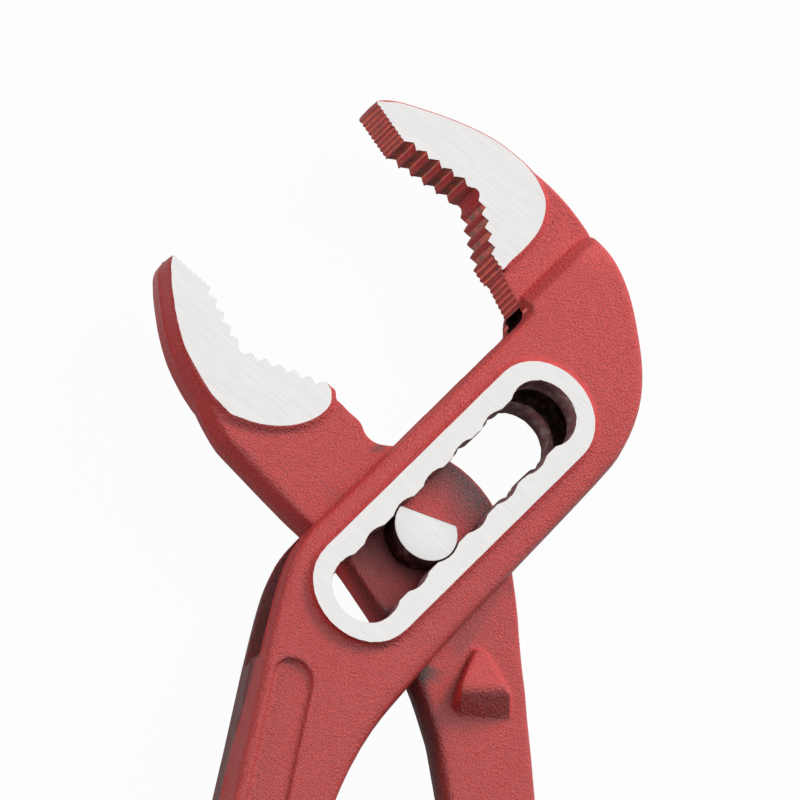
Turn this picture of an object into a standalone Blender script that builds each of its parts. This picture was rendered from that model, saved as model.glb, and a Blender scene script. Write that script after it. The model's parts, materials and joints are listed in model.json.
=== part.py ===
"""Water pump pliers with a box joint: two forged arms, and a bolt with D-shaped heads in a notched slot.

The tool lies on its side with +Z up. The pivot axis is the Z axis, +Y points towards the jaws, and z = 0 is
the surface that the rear of the box rests on. The outer arm is drawn in the frame of its slot: u runs along
the slot towards the jaw, and v across it towards the mouth. Sizes are in millimetres.
"""

import math

import bmesh
import bpy
from mathutils import Vector

MM = 0.001

# Slot and bolt
SLOT_ANGLE = 44.2          # degrees from +X to the slot, with the jaws open as shown
NOTCH_COUNT = 7
NOTCH_PITCH = 7.9
NOTCHES_BELOW = 2          # notches on the handle side of the one in use
BOLT_RADIUS = 5.45
BOLT_FLAT = 2.45           # from the pivot axis to the flat of a head
BOLT_FLAT_ANGLE = 74.7     # degrees from +X to the flat's outward normal
NOTCH_CLEARANCE = 0.15
CUSP_DEPTH = 0.65          # how far the cusps between notches stand in
RING_WIDTH = 3.4           # ground land round the slot
RING_RISE = 0.9            # land above the painted face of the box
CORE_RADIUS = 4.0
SPIGOT_RADIUS = 1.0
SPIGOT_LENGTH = 2.0
HEAD_CHAMFER = 0.25

# Thicknesses and fits across the tool
BOX_THICKNESS = 11.4
CHANNEL_WIDTH = 5.7
ARM_CLEARANCE = 0.15       # between the inner arm and each cheek of the box
FIT = 0.3                  # between the bolt and what it sits in
JAW_THICKNESS = 6.9        # over the ground jaw pads
UPPER_NECK_THICKNESS = 5.4
HANDLE_THICKNESS = 7.2
HANDLE_END_THICKNESS = 5.6

# Forged edges
EDGE_RADIUS = 1.5
GRIP_RADIUS = 3.0          # rounder edges along the handles
DRAFT = 0.15
PAD_DRAFT = 0.1            # share of the step that the back of a jaw spreads
NECK_ROUND = 0.6           # softened edge of the upper neck
ARM_ROUND = 0.7            # softened edges of the inner arm where it passes the box
UPPER_STEP = 0.7           # width of the slope from the upper pad to its neck
LOWER_STEP = 1.2

# Box of the outer arm
BOX_TOP = 13.0             # slot line to the mouth-side edge
BOX_BOTTOM = 13.9          # slot line to the far edge, at the jaw end of the slot
BOX_SPREAD = 1.5           # how much wider the far side is at the handle end of the slot
NECK_SLOPE = 2.8           # how far the sloped foot of the jaw reaches past the box edge
HEAD_RADIUS = 16.3         # rounded head of the inner arm about the pivot
ARM_EDGE = 16.9            # pivot to the straight edge of the inner arm, below its head
CHANNEL_GAP = 0.4          # between that head and the end of the channel
CHANNEL_MOUTH = 12.4       # from the last notch to the channel's end wall under the jaw
CHANNEL_THROAT = 17.2      # from the first notch to the corner of the channel's other end
THROAT_DROP = 1.0          # how far that corner lies below the slot line
MOUTH_FLARE = 32.4         # degrees from the corner's two walls to a line across the slot,
HANDLE_FLARE = 44.0        # on the mouth side and on the far side
OVERRUN = 1.0              # how far a cutter runs past what it cuts

# Teeth
COARSE_DEPTH = 1.0
FINE_DEPTH = 0.28
RECESS_RADIUS = 1.0
UPPER_LEAN = 0.62          # where the root lies between two crests, 0.5 for even flanks

# Handles: the roots are measured from the first notch and from the pivot
OUTER_ROOT = (-29.4, -9.8)
OUTER_ANGLE = 209.3        # degrees from the slot direction
OUTER_HANDLE = 144.0
OUTER_WIDTH = 17.5         # at the root
INNER_ROOT = (9.0, -47.6)
INNER_ANGLE = 270.7        # degrees from +X
INNER_HANDLE = 123.0
INNER_WIDTH = 15.4
GRIP_WIDTH = 14.4
HANDLE_BOW = 2.3

# Handle panel and stop lug
PANEL_WIDTH = 6.4
PANEL_LENGTH = 34.0
PANEL_DEPTH = 0.7
PANEL_ANGLE = 208.4        # degrees from the slot direction
PANEL_START = (-21.3, -2.0)    # middle of its upper end, from the first notch
LUG_TIP = (8.6, -16.9)     # end that points to the box, from the pivot
LUG_LENGTH = 14.2
LUG_WIDTH = 11.7
LUG_RISE = 3.0
LUG_SINK = 0.5             # how far the lug is sunk into the arm

BOX_HALF = BOX_THICKNESS / 2
RING_HALF = BOX_HALF + RING_RISE
CHANNEL_HALF = CHANNEL_WIDTH / 2
ARM_HALF = CHANNEL_HALF - ARM_CLEARANCE
JAW_HALF = JAW_THICKNESS / 2
NECK_HALF = UPPER_NECK_THICKNESS / 2
HANDLE_HALF = HANDLE_THICKNESS / 2
END_HALF = HANDLE_END_THICKNESS / 2
NOTCH_RADIUS = BOLT_RADIUS + NOTCH_CLEARANCE
FIRST_NOTCH = -NOTCHES_BELOW * NOTCH_PITCH
LAST_NOTCH = FIRST_NOTCH + (NOTCH_COUNT - 1) * NOTCH_PITCH
HEAD_START = ARM_HALF + FIT
SHARP, SLOPED = 0.0, 1.0   # share of a slope that an outline point takes


def by_jaw(points):
    """Points given from the last notch, on the slot line, moved into the frame of the slot."""
    return [(LAST_NOTCH + u, v) for u, v in points]


def by_handle(points):
    """Points given from the first notch, on the slot line, moved into the frame of the slot."""
    return [(FIRST_NOTCH + u, v) for u, v in points]


def curve(points, steps=3):
    """A smooth line through the points, of any dimension, with this many steps to a span."""
    points = [Vector(p) for p in points]
    ends = [2 * points[0] - points[1]] + points + [2 * points[-1] - points[-2]]
    line = []
    for a, b, c, d in zip(ends, ends[1:], ends[2:], ends[3:]):
        for i in range(steps):
            t = i / steps
            line.append(
                0.5 * (2 * b + (c - a) * t + (2 * a - 5 * b + 4 * c - d) * t**2
                       + (3 * b - 3 * c + d - a) * t**3)
            )
    return line + [points[-1]]


def arc(centre, radius, start, end, steps):
    """Points on an arc from one angle to another, in degrees."""
    angles = [math.radians(start + (end - start) * i / steps) for i in range(steps + 1)]
    return [Vector(centre) + radius * Vector((math.cos(a), math.sin(a))) for a in angles]


def teeth(start, end, count, depth, lean=0.5):
    """Crests from start to end with a root after each but the last. The metal lies to the left of the run."""
    start, end = Vector(start), Vector(end)
    step = (end - start) / count
    inward = depth * Vector((-step.y, step.x)).normalized()
    line = []
    for i in range(count):
        line.append(start + step * i)
        line.append(start + step * (i + lean) + inward)
    return line + [end]


def weighed(points, weight):
    return [(Vector(p), weight) for p in points]


def mesh_object(name, bm, parent=None, helper=False):
    """An object from a bmesh in millimetres. A helper only shapes another object."""
    bmesh.ops.scale(bm, vec=(MM, MM, MM), verts=bm.verts)
    bmesh.ops.recalc_face_normals(bm, faces=bm.faces)
    mesh = bpy.data.meshes.new(name)
    bm.to_mesh(mesh)
    bm.free()
    mesh.shade_smooth()
    mesh.set_sharp_from_angle(angle=math.radians(30))
    thing = bpy.data.objects.new(name, mesh)
    bpy.context.collection.objects.link(thing)
    thing.parent = parent
    if helper:
        thing.hide_render = True
        thing.display_type = "WIRE"
    return thing


def stacked(rings):
    """A closed bmesh over rings of equal length, the first and last of them capped."""
    bm = bmesh.new()
    loops = [[bm.verts.new(p) for p in ring] for ring in rings]
    for lower, upper in zip(loops, loops[1:]):
        for i in range(len(lower)):
            j = (i + 1) % len(lower)
            bm.faces.new((lower[i], lower[j], upper[j], upper[i]))
    bm.faces.new(loops[0])
    bm.faces.new(loops[-1])
    return bm


def slab(outline, levels):
    """A plate from (point, weight) pairs, counter-clockwise, and (height, spread) levels from low to high."""
    count = len(outline)
    out = []
    for i in range(count):
        before = (outline[i][0] - outline[i - 1][0]).normalized()
        after = (outline[(i + 1) % count][0] - outline[i][0]).normalized()
        normal = Vector((before.y + after.y, -before.x - after.x)).normalized()
        mitre = max(0.5, normal.dot(Vector((before.y, -before.x))))
        out.append(normal / mitre * outline[i][1])
    return stacked([
        [(p.x + n.x * spread, p.y + n.y * spread, height) for (p, weight), n in zip(outline, out)]
        for height, spread in levels
    ])


def plain_slab(points, low, high):
    return slab(weighed(points, SHARP), [(low, 0), (high, 0)])


def pad_levels(neck_half, step):
    """Levels of a jaw pad that stands over a neck of this half thickness, with a slope this wide round it."""
    return [(-JAW_HALF, 0), (-neck_half, step), (0, step + DRAFT), (neck_half, step), (JAW_HALF, 0)]


def forged_bar(near, far, sections):
    """A bar between two edge lines, with (half thickness, edge radius) at each station along them."""
    rings = []
    for a, b, (half, wanted) in zip(near, far, sections):
        across = (b - a).normalized()
        radius = min(wanted, 0.75 * half, 0.35 * (b - a).length)
        side = [(0, 0)]
        for turn in (0, 30, 60, 90):
            angle = math.radians(turn)
            rise, inset = radius * (math.sin(angle) - 1), radius * (1 - math.cos(angle))
            side.append((half + rise, DRAFT + inset))
        near_side = [(a + across * inset, z) for z, inset in side]
        far_side = [(b - across * inset, z) for z, inset in side]
        upper = near_side + far_side[::-1]
        lower = [(p, -z) for p, z in far_side[1:] + near_side[:0:-1]]
        rings.append([(p.x, p.y, z) for p, z in upper + lower])
    return stacked(rings)


def handle(root, angle, length, bow, root_width, root_half, root_radius):
    """Both edge lines and the sections of a bowed handle, from its root to its rounded end."""
    along = Vector((math.cos(math.radians(angle)), math.sin(math.radians(angle))))
    across = Vector((-along.y, along.x))
    grip, drop = GRIP_WIDTH / 2, root_width / 2 - GRIP_WIDTH / 2
    stations = [
        (0.0, grip + drop, root_half, root_radius),
        (0.11, grip + 0.7 * drop, root_half, root_radius),
        (0.21, grip + 0.45 * drop, root_half, root_radius),
        (0.35, grip + 0.2 * drop, 0.5 * (root_half + HANDLE_HALF), GRIP_RADIUS),
        (0.5, grip, HANDLE_HALF, GRIP_RADIUS),
        (0.7, grip, HANDLE_HALF, GRIP_RADIUS),
        (0.88, grip, HANDLE_HALF, GRIP_RADIUS),
        (0.955, 0.89 * grip, HANDLE_HALF, GRIP_RADIUS),
        (0.987, 0.58 * grip, END_HALF, GRIP_RADIUS),
        (1.0, 0.3 * grip, END_HALF, GRIP_RADIUS),
    ]
    near, far, sections = [], [], []
    for share, width, half, radius in curve(stations):
        middle = Vector(root) + along * share * length + across * 4 * bow * share * (1 - share)
        near.append(middle - across * width)
        far.append(middle + across * width)
        sections.append((half, radius))
    return near, far, sections


def eased(line, corner, reach=5, rounds=6):
    """A line with the corner at this index eased over the points on each side of it."""
    line = list(line)
    for _ in range(rounds):
        span = range(corner - reach, corner + reach + 1)
        middles = [(line[i - 1] + 2 * line[i] + line[i + 1]) / 4 for i in span]
        line[span.start:span.stop] = middles
    return line


def turned(profile, steps=40):
    """A turned bmesh from (radius, height) pairs, from low to high."""
    circle = arc((0, 0), 1, 0, 360, steps)[:-1]
    return stacked([[(p.x * r, p.y * r, z) for p in circle] for r, z in profile])


def shape(thing, tool, operation):
    boolean = thing.modifiers.new(tool.name, "BOOLEAN")
    boolean.operation = operation
    boolean.object = tool
    boolean.solver = "EXACT"


def finish(thing, colour, roughness, metallic):
    material = bpy.data.materials.new(thing.name)
    material.use_nodes = True
    surface = material.node_tree.nodes["Principled BSDF"]
    surface.inputs["Base Color"].default_value = (*colour, 1)
    surface.inputs["Roughness"].default_value = roughness
    surface.inputs["Metallic"].default_value = metallic
    thing.data.materials.append(material)


def notch_line():
    """The scalloped outline of the slot, counter-clockwise."""
    waist = math.degrees(math.asin((NOTCH_RADIUS - CUSP_DEPTH) / NOTCH_RADIUS))
    notches = [FIRST_NOTCH + i * NOTCH_PITCH for i in range(NOTCH_COUNT)]
    line = arc((notches[-1], 0), NOTCH_RADIUS, waist - 180, 180 - waist, 22)
    for u in notches[-2:0:-1]:
        line += arc((u, 0), NOTCH_RADIUS, waist, 180 - waist, 5)
    line += arc((notches[0], 0), NOTCH_RADIUS, waist, 360 - waist, 22)
    for u in notches[1:-1]:
        line += arc((u, 0), NOTCH_RADIUS, 180 + waist, 360 - waist, 5)
    return line


def upper_pad():
    """The ground, toothed pad of the outer arm's jaw."""
    tip, first_crest = by_jaw([(20.6, 52.8), (19.2, 45.8)])
    last_crest, recess, second_crest, heel_crest, heel = by_jaw(
        [(22.1, 33.9), (22.1, 32.3), (21.7, 31.0), (16.3, 23.6), (15.7, 20.6)]
    )
    edge = teeth(tip, first_crest, 9, FINE_DEPTH)[:-1]
    edge += teeth(first_crest, last_crest, 5, COARSE_DEPTH, UPPER_LEAN)
    edge += arc(recess, RECESS_RADIUS, 60, -70, 4)
    edge += teeth(second_crest, heel_crest, 4, COARSE_DEPTH)[:-1]
    edge += teeth(heel_crest, heel, 3, FINE_DEPTH)
    end = curve(by_jaw([(17.1, 20.5), (22.6, 20.4), (27.4, 21.1), (31.3, 23.5), (33.1, 27.2)]))
    back = curve(by_jaw([(33.5, 30.5), (32.5, 36.1), (29.6, 42.5), (25.8, 48.6), (23.2, 52.1), (21.2, 53.6)]))
    outline = weighed(edge, SHARP) + weighed(end, SLOPED) + weighed(back, PAD_DRAFT)
    return slab(outline, pad_levels(NECK_HALF, UPPER_STEP))


def upper_neck():
    """The thinner neck that carries the upper pad, with the last fine teeth, sunk into pad and box."""
    inside, toothed, throat = by_jaw([(18.1, 24.0), (15.6, 20.2), (13.3, 14.1)])
    foot = by_jaw([(13.6, 9.0), (27.6, 9.0), (32.4, 11.6)])
    back = curve(by_jaw([(34.2, 15.4), (34.7, 20.0), (34.8, 24.0), (34.5, 27.5), (33.6, 30.5)]))
    edge = [inside] + teeth(toothed, throat, 7, FINE_DEPTH) + foot
    outline = weighed(edge, SHARP) + weighed(back, SLOPED)
    return slab(outline, [
        (-NECK_HALF, -NECK_ROUND), (NECK_ROUND - NECK_HALF, -DRAFT), (0, 0),
        (NECK_HALF - NECK_ROUND, -DRAFT), (NECK_HALF, -NECK_ROUND),
    ])


def outer_bar():
    """The box and handle of the outer arm, still solid."""
    foot = BOX_TOP + NECK_SLOPE
    low = -BOX_BOTTOM - BOX_SPREAD
    left = by_jaw([(29.2, foot), (25.6, foot), (21.6, foot), (18.6, foot), (15.6, foot),
                   (13.0, BOX_TOP + 0.5), (11.2, BOX_TOP), (0.6, BOX_TOP)])
    left += by_handle([(12.6, BOX_TOP), (0.6, BOX_TOP), (-5.4, BOX_TOP - 1.1), (-11.5, BOX_TOP - 3.6),
                       (-20.4, BOX_TOP - 8.1)])
    right = by_jaw([(33.3, 14.6), (32.5, 10.1), (29.8, 4.0), (25.3, -1.9), (20.4, -7.0),
                    (15.0, -10.6), (8.0, -13.0), (-0.5, -BOX_BOTTOM)])
    right += by_handle([(12.6, low + 0.6), (0.6, low), (-5.4, low - 0.4), (-10.4, low - 0.7),
                        (-17.4, low - 1.1)])
    left, right = curve(left), curve(right)
    box = [(BOX_HALF, EDGE_RADIUS)] * len(left)
    root = by_handle([OUTER_ROOT])[0]
    near, far, sections = handle(
        root, OUTER_ANGLE, OUTER_HANDLE, -HANDLE_BOW, OUTER_WIDTH, BOX_HALF, EDGE_RADIUS
    )
    return forged_bar(left + near, eased(right + far, len(right)), box + sections)


def channel():
    """What the inner arm passes through: the room between the two cheeks of the box."""
    reach = HEAD_RADIUS + CHANNEL_GAP
    bend = math.degrees(math.acos(CHANNEL_MOUTH / reach))
    side = BOX_TOP + BOX_BOTTOM + BOX_SPREAD
    line = by_jaw([(reach, -side)])
    line += arc((LAST_NOTCH, 0), reach, 0, bend, 8)
    line += by_jaw([(CHANNEL_MOUTH, side)])
    mouth_side = (side + THROAT_DROP) * math.tan(math.radians(MOUTH_FLARE))
    far_side = (side - THROAT_DROP) * math.tan(math.radians(HANDLE_FLARE))
    line += by_handle([
        (-CHANNEL_THROAT - mouth_side, side),
        (-CHANNEL_THROAT, -THROAT_DROP),
        (-CHANNEL_THROAT - far_side, -side),
    ])
    return plain_slab(line, -CHANNEL_HALF, CHANNEL_HALF)


def ring():
    """The raised land round the slot, through both cheeks."""
    land = NOTCH_RADIUS + RING_WIDTH
    line = arc((LAST_NOTCH, 0), land, -90, 90, 16) + arc((FIRST_NOTCH, 0), land, 90, 270, 16)
    return slab(weighed(line, SLOPED), [
        (-RING_HALF, 0), (-BOX_HALF, RING_RISE), (BOX_HALF, RING_RISE), (RING_HALF, 0),
    ])


def panel(low, high):
    """The long round-ended recess in the side of the handle."""
    along = Vector((math.cos(math.radians(PANEL_ANGLE)), math.sin(math.radians(PANEL_ANGLE))))
    start = Vector(by_handle([PANEL_START])[0])
    half = PANEL_WIDTH / 2
    line = arc(start, half, PANEL_ANGLE + 90, PANEL_ANGLE + 270, 10)
    line += arc(start + along * (PANEL_LENGTH - PANEL_WIDTH), half, PANEL_ANGLE - 90, PANEL_ANGLE + 90, 10)
    return plain_slab(line, low, high)


def outer_arm(frame):
    arm = mesh_object("outer_arm", outer_bar(), frame)
    for name, tool, operation in (
        ("upper_neck", upper_neck(), "UNION"),
        ("upper_pad", upper_pad(), "UNION"),
        ("slot_ring", ring(), "UNION"),
        ("channel", channel(), "DIFFERENCE"),
        ("slot", plain_slab(notch_line(), -RING_HALF - OVERRUN, RING_HALF + OVERRUN), "DIFFERENCE"),
        ("front_panel", panel(BOX_HALF - PANEL_DEPTH, RING_HALF), "DIFFERENCE"),
        ("rear_panel", panel(-RING_HALF, PANEL_DEPTH - BOX_HALF), "DIFFERENCE"),
    ):
        shape(arm, mesh_object(name, tool, frame, helper=True), operation)
    return arm


def lower_pad():
    """The ground, toothed pad of the inner arm's jaw."""
    edge = teeth((-13.6, 25.3), (-25.8, 29.0), 5, COARSE_DEPTH)
    edge += arc((-27.0, 29.6), RECESS_RADIUS, 290, 160, 4)
    edge += teeth((-27.9, 31.0), (-31.9, 39.8), 4, COARSE_DEPTH)[:-1]
    edge += teeth((-31.9, 39.8), (-37.2, 44.3), 7, FINE_DEPTH)
    back = curve([(-37.9, 44.5), (-38.6, 42.8), (-38.8, 38.9), (-38.5, 33.4), (-37.4, 27.9), (-35.7, 23.6),
                  (-34.0, 20.8)])
    end = curve([(-30.6, 18.0), (-25.6, 16.8), (-20.6, 17.0), (-16.1, 18.6), (-13.0, 21.3), (-12.5, 24.0)])
    outline = weighed(edge, SHARP) + weighed(back, PAD_DRAFT) + weighed(end, SLOPED)
    return slab(outline, pad_levels(ARM_HALF, LOWER_STEP))


def inner_bar():
    """The neck, rounded head and handle of the inner arm."""
    left = curve([(-37.0, 27.6), (-35.3, 23.0), (-33.7, 18.6), (-31.1, 13.6), (-27.5, 9.6), (-22.4, 4.3),
                  (-18.7, 1.0), (-15.2, -2.1), (-13.4, -3.8), (-11.9, -5.6), (-10.4, -7.9), (-8.8, -10.5),
                  (-7.2, -13.1), (-4.4, -18.6), (-1.8, -25.1), (0.2, -33.6)])
    head = [tuple(p) for p in arc((0, 0), HEAD_RADIUS, 101, 8, 4)]
    right = curve([(-28.6, 23.9), (-19.6, 21.9), (-11.8, 23.0), (-9.1, 21.1), (-7.2, 19.4), (-6.6, 17.6),
                   (-5.3, 16.4)] + head
                  + [(ARM_EDGE, -8.0), (ARM_EDGE, -18.0), (ARM_EDGE, -27.0), (ARM_EDGE, -36.0)])
    neck = [(ARM_HALF, ARM_ROUND)] * len(left)
    near, far, sections = handle(
        INNER_ROOT, INNER_ANGLE, INNER_HANDLE, HANDLE_BOW, INNER_WIDTH, ARM_HALF, ARM_ROUND
    )
    return forged_bar(left + near, right + far, neck + sections)


def lug(side):
    """The stop on a face of the inner arm, which meets the box when the handles close. side is 1 or -1."""
    foot, top = side * (ARM_HALF - LUG_SINK), side * (ARM_HALF + LUG_RISE)
    bm = bmesh.new()
    for height, corners in (
        (foot, ((-0.07, 0), (0.07, 0), (0.44, 0.56), (0.41, 0.98), (-0.56, 1.0))),
        (top, ((-0.27, 0.56), (0.25, 0.61), (0.24, 0.66), (-0.29, 0.63))),
    ):
        for across, down in corners:
            bm.verts.new((LUG_TIP[0] + across * LUG_WIDTH, LUG_TIP[1] - down * LUG_LENGTH, height))
    bmesh.ops.convex_hull(bm, input=bm.verts)
    return bm


def inner_arm(pivot):
    arm = mesh_object("inner_arm", inner_bar(), pivot)
    bore = turned([(CORE_RADIUS + FIT, -BOX_HALF), (CORE_RADIUS + FIT, BOX_HALF)])
    for name, tool, operation in (
        ("lower_pad", lower_pad(), "UNION"),
        ("front_lug", lug(1), "UNION"),
        ("rear_lug", lug(-1), "UNION"),
        ("pivot_bore", bore, "DIFFERENCE"),
    ):
        shape(arm, mesh_object(name, tool, pivot, helper=True), operation)
    return arm


def bolt_core(pivot):
    """The round middle of the bolt, with a spigot into each head."""
    tip = ARM_HALF + SPIGOT_LENGTH
    profile = [(SPIGOT_RADIUS, -tip), (SPIGOT_RADIUS, -ARM_HALF), (CORE_RADIUS, -ARM_HALF),
               (CORE_RADIUS, ARM_HALF), (SPIGOT_RADIUS, ARM_HALF), (SPIGOT_RADIUS, tip)]
    return mesh_object("bolt_core", turned(profile), pivot)


def bolt_head(name, side, pivot):
    """A D-shaped head, which lies in the notches of one cheek. side is 1 or -1."""
    half = math.degrees(math.acos(BOLT_FLAT / BOLT_RADIUS))
    line = arc((0, 0), BOLT_RADIUS, BOLT_FLAT_ANGLE + half, BOLT_FLAT_ANGLE + 360 - half, 32)
    levels = [(HEAD_START, 0), (RING_HALF - HEAD_CHAMFER, 0), (RING_HALF, -HEAD_CHAMFER)]
    levels = [(side * z, spread) for z, spread in levels][::side]
    head = mesh_object(name, slab(weighed(line, SLOPED), levels), pivot)
    hole = SPIGOT_RADIUS + FIT
    depth = ARM_HALF + SPIGOT_LENGTH + FIT
    ends = sorted((side * (HEAD_START - OVERRUN), side * depth))
    drill = turned([(hole, z) for z in ends], 24)
    shape(head, mesh_object(name + "_hole", drill, pivot, helper=True), "DIFFERENCE")
    return head


def build():
    for thing in list(bpy.data.objects):
        bpy.data.objects.remove(thing)
    pivot = bpy.data.objects.new("pivot_axis", None)
    slot_frame = bpy.data.objects.new("slot_frame", None)
    for empty in (pivot, slot_frame):
        bpy.context.collection.objects.link(empty)
        empty.location.z = RING_HALF * MM
    slot_frame.rotation_euler.z = math.radians(SLOT_ANGLE)
    red = (0.38, 0.055, 0.05)
    steel = (0.62, 0.61, 0.60)
    finish(outer_arm(slot_frame), red, 0.45, 0.0)
    finish(inner_arm(pivot), red, 0.45, 0.0)
    finish(bolt_core(pivot), steel, 0.35, 1.0)
    finish(bolt_head("front_bolt_head", 1, pivot), steel, 0.35, 1.0)
    finish(bolt_head("rear_bolt_head", -1, pivot), steel, 0.35, 1.0)


build()
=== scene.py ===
import json
import math

import bmesh
import bpy
import numpy as np
from mathutils import Matrix, Vector


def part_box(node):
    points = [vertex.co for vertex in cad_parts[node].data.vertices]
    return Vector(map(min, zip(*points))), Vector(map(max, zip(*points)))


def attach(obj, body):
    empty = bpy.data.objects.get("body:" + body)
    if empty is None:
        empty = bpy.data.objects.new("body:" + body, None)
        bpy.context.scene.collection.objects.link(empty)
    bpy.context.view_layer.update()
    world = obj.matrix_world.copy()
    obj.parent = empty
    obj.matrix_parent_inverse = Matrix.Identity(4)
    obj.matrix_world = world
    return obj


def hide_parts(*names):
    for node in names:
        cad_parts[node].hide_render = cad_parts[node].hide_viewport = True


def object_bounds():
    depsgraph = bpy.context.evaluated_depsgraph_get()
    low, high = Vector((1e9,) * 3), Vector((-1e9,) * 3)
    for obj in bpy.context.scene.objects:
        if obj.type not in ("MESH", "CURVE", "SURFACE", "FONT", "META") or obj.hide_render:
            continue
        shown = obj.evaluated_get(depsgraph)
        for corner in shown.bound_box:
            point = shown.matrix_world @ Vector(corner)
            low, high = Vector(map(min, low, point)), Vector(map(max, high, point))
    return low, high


mm = 0.001

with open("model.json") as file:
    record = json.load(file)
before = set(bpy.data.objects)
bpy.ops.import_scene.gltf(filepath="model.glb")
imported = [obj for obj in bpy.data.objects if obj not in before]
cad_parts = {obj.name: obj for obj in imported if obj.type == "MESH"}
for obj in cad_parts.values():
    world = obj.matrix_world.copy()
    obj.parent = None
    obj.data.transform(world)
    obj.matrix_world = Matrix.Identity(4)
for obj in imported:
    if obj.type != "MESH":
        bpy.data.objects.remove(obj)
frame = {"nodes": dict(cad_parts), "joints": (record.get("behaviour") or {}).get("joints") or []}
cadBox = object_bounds()
joints = {j["name"]: j for j in frame["joints"]}
pivot = Vector(joints["arm_pivot"]["pos_m"])  # on the middle plane of the tool
slotWay = Vector(joints["notch_slide"]["axis"]).normalized()
slotAcross = Vector((-slotWay.y, slotWay.x, 0))
firstNotch, lastNotch = joints["notch_slide"]["range_m"]
print("frame loaded:", sorted(frame["nodes"]))


def hexColour(text):  # sRGB hex to the linear colour that a socket takes
    parts = [int(text[i : i + 2], 16) / 255 for i in (1, 3, 5)]
    return [c / 12.92 if c <= 0.04045 else ((c + 0.055) / 1.055) ** 2.4 for c in parts] + [1]


# an input's value is a number, a colour or a socket to link
def addNode(tree, kind, inputs={}, **settings):
    node = tree.nodes.new(kind)
    for key, value in settings.items():
        setattr(node, key, value)
    for key, value in inputs.items():
        if isinstance(value, bpy.types.NodeSocket):
            tree.links.new(value, node.inputs[key])
        else:
            node.inputs[key].default_value = value
    return node


def newMaterial(name):
    material = bpy.data.materials.new(name)
    material.use_nodes = True
    tree = material.node_tree
    surface = tree.nodes["Principled BSDF"]
    place = addNode(tree, "ShaderNodeTexCoord").outputs["Object"]
    return material, tree, surface, place


def perMetre(size):  # a noise scale whose lumps are about this many millimetres across
    return 1 / (size * mm)


# powder coat on a forging: red epoxy that flowed into a fine orange peel, satin, darkened by painted shade and
# shadow on the arms, and by rub marks where the cheeks wipe it
coatLook = dict(
    red="#C03230", pit="#A42422", paintedShadeAndRub="#40292A", lump=(0.35, 0.6), scuffAndShade=(0.1, 0.5),
    peel=0.36, rise=0.36, grain=0.16, grainRise=0.06,  # lumps and how high they stand, in millimetres
    rough=0.4, gloss=0.8, skin=1.0, skinRough=0.36,
)


def powderCoat():
    material, tree, surface, place = newMaterial("powderCoat")
    look = coatLook
    peel = addNode(
        tree, "ShaderNodeTexNoise",
        {"Vector": place, "Scale": perMetre(look["peel"]), "Detail": 3.0, "Roughness": 0.6},
    )
    grain = addNode(
        tree, "ShaderNodeTexNoise", {"Vector": place, "Scale": perMetre(look["grain"]), "Detail": 1.0}
    )
    least, most = look["lump"]
    lump = addNode(
        tree, "ShaderNodeMapRange", {"Value": peel.outputs["Fac"], "From Min": least, "From Max": most}
    )
    colour = addNode(
        tree, "ShaderNodeMix",
        {"Factor": lump.outputs["Result"], "A": hexColour(look["pit"]), "B": hexColour(look["red"])},
        data_type="RGBA",
    )
    # painted shade: this attribute darkens the red towards a dark brown for shadow and shade laid on the arms,
    # and for rub marks on the inner arm
    rubAndPaintedShade = addNode(tree, "ShaderNodeAttribute", attribute_name="rubAndPaintedShade")
    scuffAndShade = addNode(
        tree, "ShaderNodeMath", {0: rubAndPaintedShade.outputs["Fac"], 1: peel.outputs["Fac"]}, operation="MULTIPLY"
    )
    least, most = look["scuffAndShade"]
    scuffAndShade = addNode(
        tree, "ShaderNodeMapRange", {"Value": scuffAndShade.outputs["Value"], "From Min": least, "From Max": most}
    )
    colour = addNode(
        tree, "ShaderNodeMix",
        {"Factor": scuffAndShade.outputs["Result"], "A": colour.outputs["Result"], "B": hexColour(look["paintedShadeAndRub"])},
        data_type="RGBA",
    )
    tree.links.new(colour.outputs["Result"], surface.inputs["Base Color"])
    coarse = addNode(tree, "ShaderNodeAttribute", attribute_name="coarse")
    height = addNode(
        tree, "ShaderNodeMath",
        {0: coarse.outputs["Fac"], 1: peel.outputs["Fac"], 2: peel.outputs["Fac"]}, operation="MULTIPLY_ADD",
    )
    broad = addNode(
        tree, "ShaderNodeBump",
        {"Height": height.outputs["Value"], "Strength": 1.0, "Distance": look["rise"] * mm},
    )
    fine = addNode(
        tree, "ShaderNodeBump",
        {
            "Height": grain.outputs["Fac"], "Strength": 0.5, "Distance": look["grainRise"] * mm,
            "Normal": broad.outputs["Normal"],
        },
    )
    for socket in ("Normal", "Coat Normal"):
        tree.links.new(fine.outputs["Normal"], surface.inputs[socket])
    surface.inputs["Roughness"].default_value = look["rough"]
    surface.inputs["Specular IOR Level"].default_value = look["gloss"]
    surface.inputs["Coat Weight"].default_value = look["skin"]  # the resin that rises as the powder melts
    surface.inputs["Coat Roughness"].default_value = look["skinRough"]
    return material


# surface-ground steel: flat and bright, with fine parallel scratches left by the wheel
steelLook = dict(
    bright="#D6D5D4", dull="#CAC8C7", tone=(0.3, 0.62),
    scratch=0.16, stretch=0.03, angle=38, rise=0.02, rough=0.34,
)


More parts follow.
